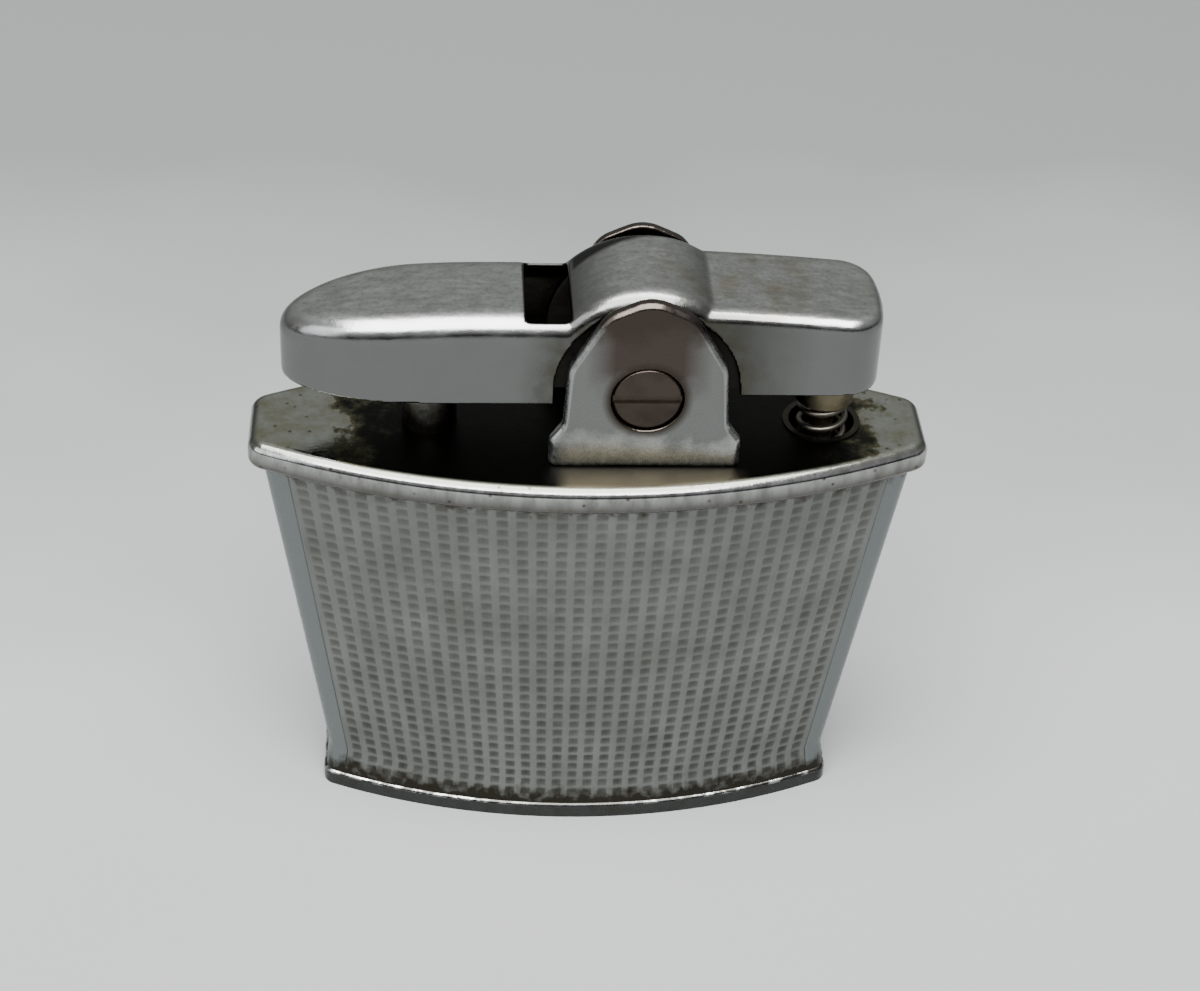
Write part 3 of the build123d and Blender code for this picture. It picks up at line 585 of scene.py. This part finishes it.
def bracket_chrome():
    """Plating gone brown with wear over the upper face, with painted shade on the broad faces, in the
    ring round the screw, on the crown and on the faces that look inwards, and a painted reflection
    brightening the face below the screw; the edges keep the plain plating.
    """
    material, shader = new_material("bracket_chrome", CHROME, metallic=1.0)
    cloud = clouds(material, 0.6, 0.40, 0.75, 0.0, 0.5, detail=6, roughness=0.6)
    base = mix_color(material, cloud, CHROME, BRACKET_CLOUD)
    height = total(material, axis(material, "Z"), clouds(material, 0.5, 0.3, 0.7, -0.8, 0.8, detail=4))
    upper = rescale(material, height, AXLE_Z - 0.3, AXLE_Z + 2.2)
    middle = within(material, axis(material, "X"), AXLE_X - 2.2, AXLE_X + 2.2, 2.0)
    face = rescale(material, facing(material, "Y", absolute=True), 0.93, 0.99)
    brown = times(material, times(material, upper, middle), face)
    # Painted reflection: the face below the screw is painted brighter.
    lower_reflection = rescale(material, height, AXLE_Z - 4.6, AXLE_Z - 2.6, 1.0, 0.0)
    # Painted shade: the broad faces are painted darker than the edges.
    worn_and_painted_light = mix_color(material, times(material, face, 0.85), base, BRACKET_FACE_SHADE)
    worn_and_painted_light = mix_color(material, times(material, lower_reflection, 0.9), worn_and_painted_light, BRACKET_LOW_REFLECTION)
    color = mix_color(material, times(material, brown, 0.92), worn_and_painted_light, BRACKET_BROWN)
    # Painted shade in the ring round the screw, dimming the counterbore's edge highlight.
    screw_ring_shade = rescale(material, radial(material, AXLE_X, AXLE_Z), 2.5, 3.05, 0.95, 0.0)
    color = mix_color(material, screw_ring_shade, color, BROWN)
    # Painted shade over the crown, dimming its highlight.
    crown = rescale(material, height, AXLE_Z + 4.2, AXLE_Z + 5.6, 0.0, 0.97)
    color = mix_color(material, crown, color, BRACKET_CROWN_DIMMED)
    # Painted shade on every face that looks inwards.
    link_color(material, shader, mix_color(material, facing_in(material), color, BRACKET_INSIDE_SHADE))
    link_roughness(material, shader, clouds(material, 2.4, 0.3, 0.7, 0.20, 0.34, detail=5))
    bump(material, shader, noise(material, 4.0, detail=5), 0.010, 0.6)
    return material


def foot_chrome():
    """Plating painted dark as shade, with wear on the outer edge whose ends carry a painted highlight,
    and grime with painted shade against the case.
    """
    material, shader = new_material("foot_chrome", CHROME, metallic=1.0)
    # Painted shade: the plating is painted far darker than the case's, dimming the foot's highlights.
    cloud = clouds(material, 0.8, 0.42, 0.70, detail=6, roughness=0.65)
    base = mix_color(material, cloud, FOOT_PLATE_DIMMED, FOOT_CLOUD)
    # Wear with a painted highlight along the outer lip, bright towards the two ends.
    across = rescale(material, axis(material, "X"), -FOOT_HALF, FOOT_HALF, -1, 1)
    ends = rescale(material, combine(material, "ABSOLUTE", across, 0.0), 0.15, 0.45)
    lip = times(material, within(material, axis(material, "Z"), *FOOT_LIP_Z, 0.08), ends)
    worn_and_painted_light = clouds(material, 0.9, 0.46, 0.58, detail=6, roughness=0.7, stretch=(1.6, 1, 1))
    base = mix_color(material, times(material, lip, worn_and_painted_light), base, FOOT_WORN_HIGHLIGHT)
    # Grime with painted shade on the upward faces against the case.
    seam_grime_and_shade = clouds(material, 1.6, 0.35, 0.6, 0.3, 1.0, detail=4)
    seam_grime_and_shade = times(material, seam_grime_and_shade, facing_up(material))
    link_color(material, shader, mix_color(material, seam_grime_and_shade, base, FOOT_SEAM_GRIME_AND_SHADE))
    link_roughness(material, shader, clouds(material, 2.6, 0.3, 0.7, 0.16, 0.34, detail=5))
    bump(material, shader, noise(material, 3.0, detail=5), 0.02, 0.8)
    return material


def tube_shade_and_highlight():
    """Plated tube with a painted highlight towards its mouth and painted shade, near black, where it
    meets the deck.
    """
    material, shader = new_material("tube_chrome", CHROME, metallic=1.0)
    height = total(material, axis(material, "Z"), clouds(material, 0.8, 0.3, 0.7, -0.8, 0.8, detail=5))
    # Painted shade at the foot, rising to a painted highlight near the mouth.
    link_color(material, shader, ramp(material, rescale(material, height, *TUBE_Z), [
        (0.0, (0.03, 0.027, 0.02)), (0.35, (0.16, 0.155, 0.14)), (0.75, (0.52, 0.52, 0.50)),
    ]))
    link_roughness(material, shader, clouds(material, 3.0, 0.3, 0.7, 0.26, 0.42, detail=5))
    bump(material, shader, noise(material, 4.0, detail=4), 0.010, 0.6)
    return material


def wick_braid():
    """Cotton, cream below and charred at the top."""
    material, shader = new_material("wick_braid", COTTON_CREAM, roughness=0.9)
    height = total(material, axis(material, "Z"), clouds(material, 1.5, 0.3, 0.7, -0.7, 0.7, detail=4))
    char = ramp(material, rescale(material, height, *CHAR_Z), [
        (0.0, COTTON_CREAM), (0.45, (0.30, 0.22, 0.13)), (0.8, (0.04, 0.035, 0.03)),
        (1.0, (0.015, 0.014, 0.013)),
    ])
    fibres = noise(material, 6.0, detail=5, stretch=(1, 1, 4))
    hollows = rescale(material, fibres, 0.35, 0.75, 0.0, 0.35)
    link_color(material, shader, mix_color(material, hollows, char, FIBRE_DARK))
    bump(material, shader, fibres, 0.05)
    return material


def soft_fibre(name, light, dark, per_mm):
    """Matted fibre with painted shade darkening its low spots."""
    material, shader = new_material(name, light, roughness=0.95)
    tangle = noise(material, per_mm, detail=7, roughness=0.7)
    stain = clouds(material, 0.15, 0.45, 0.75, 0.0, 0.5, detail=3)
    # Painted shade: the colour darkens where the bump relief is low.
    color = mix_color(material, rescale(material, tangle, 0.35, 0.65), dark, light)
    link_color(material, shader, mix_color(material, stain, color, dark))
    shader.inputs["Sheen Weight"].default_value = 0.3
    bump(material, shader, tangle, 0.12)
    return material


# ---- shapes: helpers -----------------------------------------------------------------------------

def tube_mesh(name, rings, closed=False, capped=False):
    """A mesh through rings of points; closed joins last ring to first, capped fills both ends."""
    ring_count, size = rings.shape[:2]
    step = np.arange(size)
    ahead = (step + 1) % size
    faces = []
    for row in range(ring_count if closed else ring_count - 1):
        here = row * size
        above = (row + 1) % ring_count * size
        quads = np.stack([here + step, here + ahead, above + ahead, above + step], axis=1)
        faces += quads.tolist()
    if capped:
        faces.append(step[::-1].tolist())
        faces.append(((ring_count - 1) * size + step).tolist())
    mesh = bpy.data.meshes.new(name)
    mesh.from_pydata(rings.reshape(-1, 3).tolist(), [], faces)
    piece = bpy.data.objects.new(name, mesh)
    bpy.context.scene.collection.objects.link(piece)
    return piece


def store(piece, name, values):
    """Keep one value for each point of a piece's mesh."""
    data = piece.data.attributes.new(name, "FLOAT", "POINT").data
    data.foreach_set("value", values.astype(np.float32))


def finish_piece(piece, slot_name, body, *replaced, sharp=40):
    """Shade a piece, give it its slot's finish, and put it in place of its CAD nodes."""
    mesh = piece.data
    work = bmesh.new()
    work.from_mesh(mesh)
    bmesh.ops.recalc_face_normals(work, faces=work.faces)
    work.to_mesh(mesh)
    work.free()
    mesh.polygons.foreach_set("use_smooth", [True] * len(mesh.polygons))
    mesh.set_sharp_from_angle(angle=math.radians(sharp))
    mesh.materials.clear()
    mesh.materials.append(FINISHES[slot_name])
    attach(piece, body)
    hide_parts(*replaced)


def triangle_wave(turns):
    """1 at whole turns, 0 halfway between them."""
    return np.abs(2 * (turns - np.floor(turns)) - 1)


# ---- shapes: case --------------------------------------------------------------------------------
CELL_STEPS = np.array([0.0, 0.13, 0.25, 0.50, 0.75, 0.87])
CELL_RELIEF = np.array([0.0, 0.0, 0.85, 1.0, 0.85, 0.0])
ROW_STEPS = np.array([0.0, 0.10, 0.24, 0.50, 0.76, 0.90])
ROW_RELIEF = np.array([0.42, 0.42, 0.92, 1.0, 0.92, 0.42])
COLUMNS = 30
ROWS = 32
PIT_DEPTH = 0.13 * MM
BORDER_DEPTH = 0.07 * MM
STRIP_TOP = 1.8 * MM
STRIP_LOW = 1.5 * MM
PATTERN_MARGIN = 0.25 * MM
PATTERN_LOW = 1.75 * MM
EDGE_R = 1.1 * MM
CASE_WALL = 0.5 * MM
GROOVE = 0.09 * MM
GROOVE_SHADE = 0.9
PLAIN_SHADE = 0.6
WALL_SHADE = 0.8
LOW_STATION = 3.3 * MM
HIGH_STATION = 28.4 * MM
RIM_STATION = 29.0 * MM
PATTERN_LEAD = 0.1 * MM
SECTION_SLACK = 0.01 * MM
CORNER_STEPS = 7


def plan_section(node, height):
    """(half width, half depth at the middle, bow radius) of a CAD node's outline at a height."""
    points = [v.co for v in nodes[node].data.vertices]
    points = [p for p in points if abs(p.z - height) < SECTION_SLACK and p.y > 0]
    half = max(p.x for p in points)
    middle = max(p.y for p in points)
    bowed = [p for p in points if 0.4 * half < p.x < 0.8 * half]
    return half, middle, max((p.x ** 2 + (middle - p.y) ** 2) / (2 * (middle - p.y)) for p in bowed)


def repeated(count, steps, relief):
    """A step pattern repeated count times over 0 to 1: places and relief, with both ends included."""
    places = (np.arange(count)[:, None] + steps).ravel() / count
    return np.append(places, 1.0), np.append(np.tile(relief, count), relief[0])


def side_outline(half, middle, radius, corner, strip):
    """Front bow, right corners and right end in plan: points and outward normals, front left first."""
    centre = middle - radius
    across = (2 * repeated(COLUMNS, CELL_STEPS, CELL_RELIEF)[0] - 1) * (half - strip)
    tangent = radius * (half - corner) / (radius - corner)
    border = half - strip + GROOVE * np.array([1.0, 2.0, 3.0])
    rest = np.linspace(border[-1], tangent, 4)[1:]
    x = np.concatenate([across, border, rest])
    rise = np.sqrt(radius ** 2 - x ** 2)
    bow = np.stack([x, -(centre + rise), x / radius, -rise / radius], axis=1)
    corner_y = centre + math.sqrt((radius - corner) ** 2 - (half - corner) ** 2)
    start = math.atan2(bow[-1, 3], bow[-1, 2])
    turn = np.linspace(start, 0, CORNER_STEPS)[1:]
    out_x, out_y = np.cos(turn), np.sin(turn)
    corner_x = half - corner + corner * out_x
    front_corner = np.stack([corner_x, -corner_y + corner * out_y, out_x, out_y], axis=1)
    level = np.linspace(-corner_y, corner_y, 5)[1:-1]
    end = np.stack([np.full(3, half), level, np.ones(3), np.zeros(3)], axis=1)
    mirror = np.array([1, -1, 1, -1])
    back_corner = front_corner[::-1] * mirror
    back_strip = bow[len(across):][::-1] * mirror
    return np.concatenate([bow, front_corner, end, back_corner, back_strip])


def case_piece():
    """The tank's shell with its stamped cells, plain strips and a real wall."""
    low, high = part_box("case_shell")
    stations = [low.z, LOW_STATION, HIGH_STATION, high.z]
    sections = np.array([plan_section("case_shell", z) for z in stations])
    row_places, row_relief = repeated(ROWS, ROW_STEPS, ROW_RELIEF)
    stop = HIGH_STATION - PATTERN_MARGIN
    heights = np.concatenate([
        [low.z, PATTERN_LOW - PATTERN_LEAD], PATTERN_LOW + (stop - PATTERN_LOW) * row_places,
        [HIGH_STATION, RIM_STATION, high.z],
    ])
    row_relief = np.concatenate([np.zeros(2), row_relief, np.zeros(3)])
    cell_relief = repeated(COLUMNS, CELL_STEPS, CELL_RELIEF)[1]
    count = len(side_outline(*sections[0], EDGE_R, STRIP_LOW))
    pits = np.zeros(count)
    pits[:len(cell_relief)] = cell_relief
    strips = np.ones(count)
    strips[:len(cell_relief)] = 0
    groove = np.zeros(count)
    groove[[len(cell_relief) + 1, count - 2]] = 1
    pits, strips, groove = (np.tile(values, 2) for values in (pits, strips, groove))
    rings, depth, plain = [], [], []
    for z, relief in zip(heights, row_relief):
        section = [np.interp(z, stations, column) for column in sections.T]
        strip = np.interp(z, [LOW_STATION, HIGH_STATION], [STRIP_LOW, STRIP_TOP])
        outline = side_outline(*section, EDGE_R, strip)
        loop = np.concatenate([outline, -outline])
        inside = relief > 0
        pressed = pits * relief * PIT_DEPTH + groove * inside * BORDER_DEPTH
        plan = loop[:, :2] - loop[:, 2:] * pressed[:, None]
        rings.append(np.column_stack([plan, np.full(len(plan), z)]))
        depth.append(np.maximum(pits * relief, groove * inside * GROOVE_SHADE))
        plain.append(np.maximum(strips, 0.0 if inside else PLAIN_SHADE))
    for z in reversed(stations):
        section = [np.interp(z, stations, column) - CASE_WALL for column in sections.T]
        outline = side_outline(*section, EDGE_R - CASE_WALL, STRIP_TOP)
        loop = np.concatenate([outline, -outline])
        rings.append(np.column_stack([loop[:, :2], np.full(len(loop), z)]))
        depth.append(np.full(len(loop), WALL_SHADE))
        plain.append(np.zeros(len(loop)))
    shell = tube_mesh("case_patterned", np.array(rings), closed=True)
    store(shell, "pit", np.concatenate(depth))
    store(shell, "plain", np.concatenate(plain))
    finish_piece(shell, "patterned_case", "tank", "case_shell")


# ---- shapes: wheel, wick and packing -------------------------------------------------------------
KNURL_TEETH = 54
KNURL_DEPTH = 0.26 * MM
KNURL_PITCH = 0.62 * MM
KNURL_CHAMFER = 0.15 * MM
POINTS_PER_TOOTH = 8
KNURL_RINGS = 41
WICK_POINTS = 72
WICK_RING_STEP = 0.09 * MM
WICK_STRANDS = 4
WICK_PITCH = 1.6 * MM
WICK_RELIEF = 0.14
FRAY_SEED = 7
FRAY_LENGTH = 0.5 * MM
FRAY_LIFT = 0.35 * MM
FRAY_WIDTH = 0.45


def wheel_ring(middle, reach, angles, y):
    """A ring of points round the wheel's axis at one depth."""
    x = middle.x + reach * np.cos(angles)
    z = middle.z + reach * np.sin(angles)
    return np.stack([x, np.full(len(angles), y), z], axis=1)


def knurled_wheel():
    """Flint wheel with a diamond knurl, open at its bore."""
    low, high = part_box("flint_wheel")
    middle = (low + high) / 2
    radius = (high.z - low.z) / 2
    points = np.array([v.co for v in nodes["flint_wheel"].data.vertices])
    bore = np.hypot(points[:, 0] - middle.x, points[:, 2] - middle.z).min()
    angles = np.linspace(0, 2 * math.pi, KNURL_TEETH * POINTS_PER_TOOTH, endpoint=False)
    levels = np.linspace(low.y, high.y, KNURL_RINGS)
    rings = []
    for y in levels:
        turns = KNURL_TEETH * angles / (2 * math.pi)
        shift = (y - low.y) / KNURL_PITCH
        peak = np.minimum(triangle_wave(turns + shift), triangle_wave(turns - shift))
        edge = min(y - low.y, high.y - y)
        chamfer = max(0.0, KNURL_CHAMFER - edge)
        reach = radius - chamfer - KNURL_DEPTH * (1 - peak)
        rings.append(wheel_ring(middle, reach, angles, y))
    for y in (high.y, low.y):
        rings.append(wheel_ring(middle, bore, angles, y))
    wheel = tube_mesh("flint_wheel_knurled", np.array(rings), closed=True)
    finish_piece(wheel, "wheel_steel", "wheel", "flint_wheel", sharp=30)


def braided_wick():
    """Round braid with a frayed top."""
    low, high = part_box("wick")
    middle = (low + high) / 2
    radius = (high.x - low.x) / 2
    angles = np.linspace(0, 2 * math.pi, WICK_POINTS, endpoint=False)
    turns = angles / (2 * math.pi)
    levels = np.arange(low.z, high.z, WICK_RING_STEP)
    random = np.random.default_rng(FRAY_SEED)
    fray = random.uniform(0.0, 1.0, len(angles))
    rings = []
    for z in levels:
        climb = (z - low.z) / WICK_PITCH
        strands = WICK_STRANDS * turns
        over = np.minimum(triangle_wave(strands + climb), triangle_wave(strands - climb))
        reach = radius * (1 - WICK_RELIEF * (1 - over))
        left = min(1.0, (high.z - z) / FRAY_LENGTH)
        reach = reach * (1 - FRAY_WIDTH * (1 - math.sqrt(left)))
        lift = FRAY_LIFT * (fray - 1) * (1 - left)
        x = middle.x + reach * np.cos(angles)
        y = middle.y + reach * np.sin(angles)
        rings.append(np.stack([x, y, z + lift], axis=1))
    wick = tube_mesh("wick_braided", np.array(rings), capped=True)
    finish_piece(wick, "wick_cotton", "tank", "wick", sharp=60)


def resurfaced(node, name, voxel, smooth, dents=0.0, dent_size=1.0):
    """A CAD node's shape as an even mesh, smoothed and optionally dented inwards by noise."""
    piece = bpy.data.objects.new(name, nodes[node].data.copy())
    bpy.context.scene.collection.objects.link(piece)
    even = piece.modifiers.new("even", "REMESH")
    even.mode = "VOXEL"
    even.voxel_size = voxel
    relax = piece.modifiers.new("relax", "SMOOTH")
    relax.factor = 0.5
    relax.iterations = smooth
    if dents:
        clouds = bpy.data.textures.new(name, "CLOUDS")
        clouds.noise_scale = dent_size
        clouds.noise_depth = 3
        press = piece.modifiers.new("press", "DISPLACE")
        press.texture = clouds
        press.texture_coords = "LOCAL"
        press.mid_level = 1.0
        press.strength = dents
    bpy.context.view_layer.update()
    graph = bpy.context.evaluated_depsgraph_get()
    mesh = bpy.data.meshes.new_from_object(piece.evaluated_get(graph))
    piece.modifiers.clear()
    piece.data = mesh
    return piece


ALL_SMOOTH = 180


def packing():
    """Cotton layers and the felt pad as matted, uneven fibre."""
    for node in nodes:
        if node.startswith("cotton"):
            layer = resurfaced(
                node, node + "_matted", voxel=0.33 * MM, smooth=2, dents=0.55 * MM, dent_size=1.1 * MM
            )
            finish_piece(layer, "cotton", "tank", node, sharp=ALL_SMOOTH)
    pad = resurfaced(
        "felt_pad", "felt_pad_matted", voxel=0.25 * MM, smooth=1, dents=0.18 * MM, dent_size=0.6 * MM
    )
    finish_piece(pad, "felt", "tank", "felt_pad", sharp=ALL_SMOOTH)


def pressings():
    """The arm and the two brackets with softened, slightly uneven edges."""
    arm = resurfaced("lift_arm", "lift_arm_worn", voxel=0.15 * MM, smooth=7)
    finish_piece(arm, "arm_chrome", "arm", "lift_arm", sharp=60)
    for node in ("front_bracket", "rear_bracket"):
        bracket = resurfaced(node, node + "_worn", voxel=0.10 * MM, smooth=6)
        finish_piece(bracket, "bracket_chrome", "tank", node, sharp=60)


def spring(node, slot_name, body):
    """A copy of a CAD coil with its slot's finish, held on a body in place of the CAD node."""
    piece = bpy.data.objects.new(node + "_live", nodes[node].data.copy())
    bpy.context.scene.collection.objects.link(piece)
    finish_piece(piece, slot_name, body, node)
    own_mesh(piece)


# ---- the scene -----------------------------------------------------------------------------------
make_camera()
make_floor()
make_lights()
make_world()

FINISHES = {
    "patterned_case": patterned_chrome(),
    "polished_chrome": deck_chrome(),
    "foot_chrome": foot_chrome(),
    "bracket_chrome": bracket_chrome(),
    "arm_chrome": arm_chrome(),
    "tube_chrome": tube_shade_and_highlight(),
    "steel": worn_metal("sooty_steel", (0.016, 0.015, 0.013), (0.010, 0.008, 0.006), (0.5, 0.7)),
    "screw_steel": worn_metal(
        "screw_steel", (0.055, 0.044, 0.037), (0.026, 0.019, 0.015), (0.28, 0.45),
        scratch=0.6, tarnish_share=0.9,
    ),
    "wheel_steel": worn_metal("wheel_steel", (0.022, 0.020, 0.018), (0.012, 0.010, 0.008), (0.5, 0.65)),
    "spring_steel": worn_metal("spring_steel", (0.11, 0.10, 0.085), (0.05, 0.042, 0.03), (0.3, 0.45)),
    "brass": worn_metal("brass", (0.50, 0.37, 0.17), (0.26, 0.18, 0.09), (0.22, 0.38)),
    "plunger_brass": worn_metal(
        "plunger_brass", (0.15, 0.13, 0.085), (0.07, 0.053, 0.03), (0.25, 0.42),
        scratch=0.4, pits=0.3, tarnish_share=0.8,
    ),
    "ferrocerium": worn_metal("ferrocerium", (0.14, 0.13, 0.12), (0.07, 0.06, 0.055), (0.55, 0.7)),
    "gasket": worn_metal("gasket", (0.25, 0.16, 0.1), (0.15, 0.1, 0.07), (0.7, 0.8)),
    "wick_cotton": wick_braid(),
    "cotton": soft_fibre("cotton_wool", (0.82, 0.80, 0.74), (0.45, 0.41, 0.34), 2.6),
    "felt": soft_fibre("felt_wool", (0.56, 0.53, 0.46), (0.26, 0.24, 0.20), 4.0),
}
for node in nodes.values():
    slot_name = node.material_slots[0].material.name.split(".")[0]
    node.material_slots[0].material = FINISHES[slot_name]

case_piece()
knurled_wheel()
braided_wick()
packing()
pressings()
spring("return_spring", "spring_steel", "tank")
spring("snuffer_spring", "spring_steel", "arm")
spring("flint_spring", "spring_steel", "flint_plug")
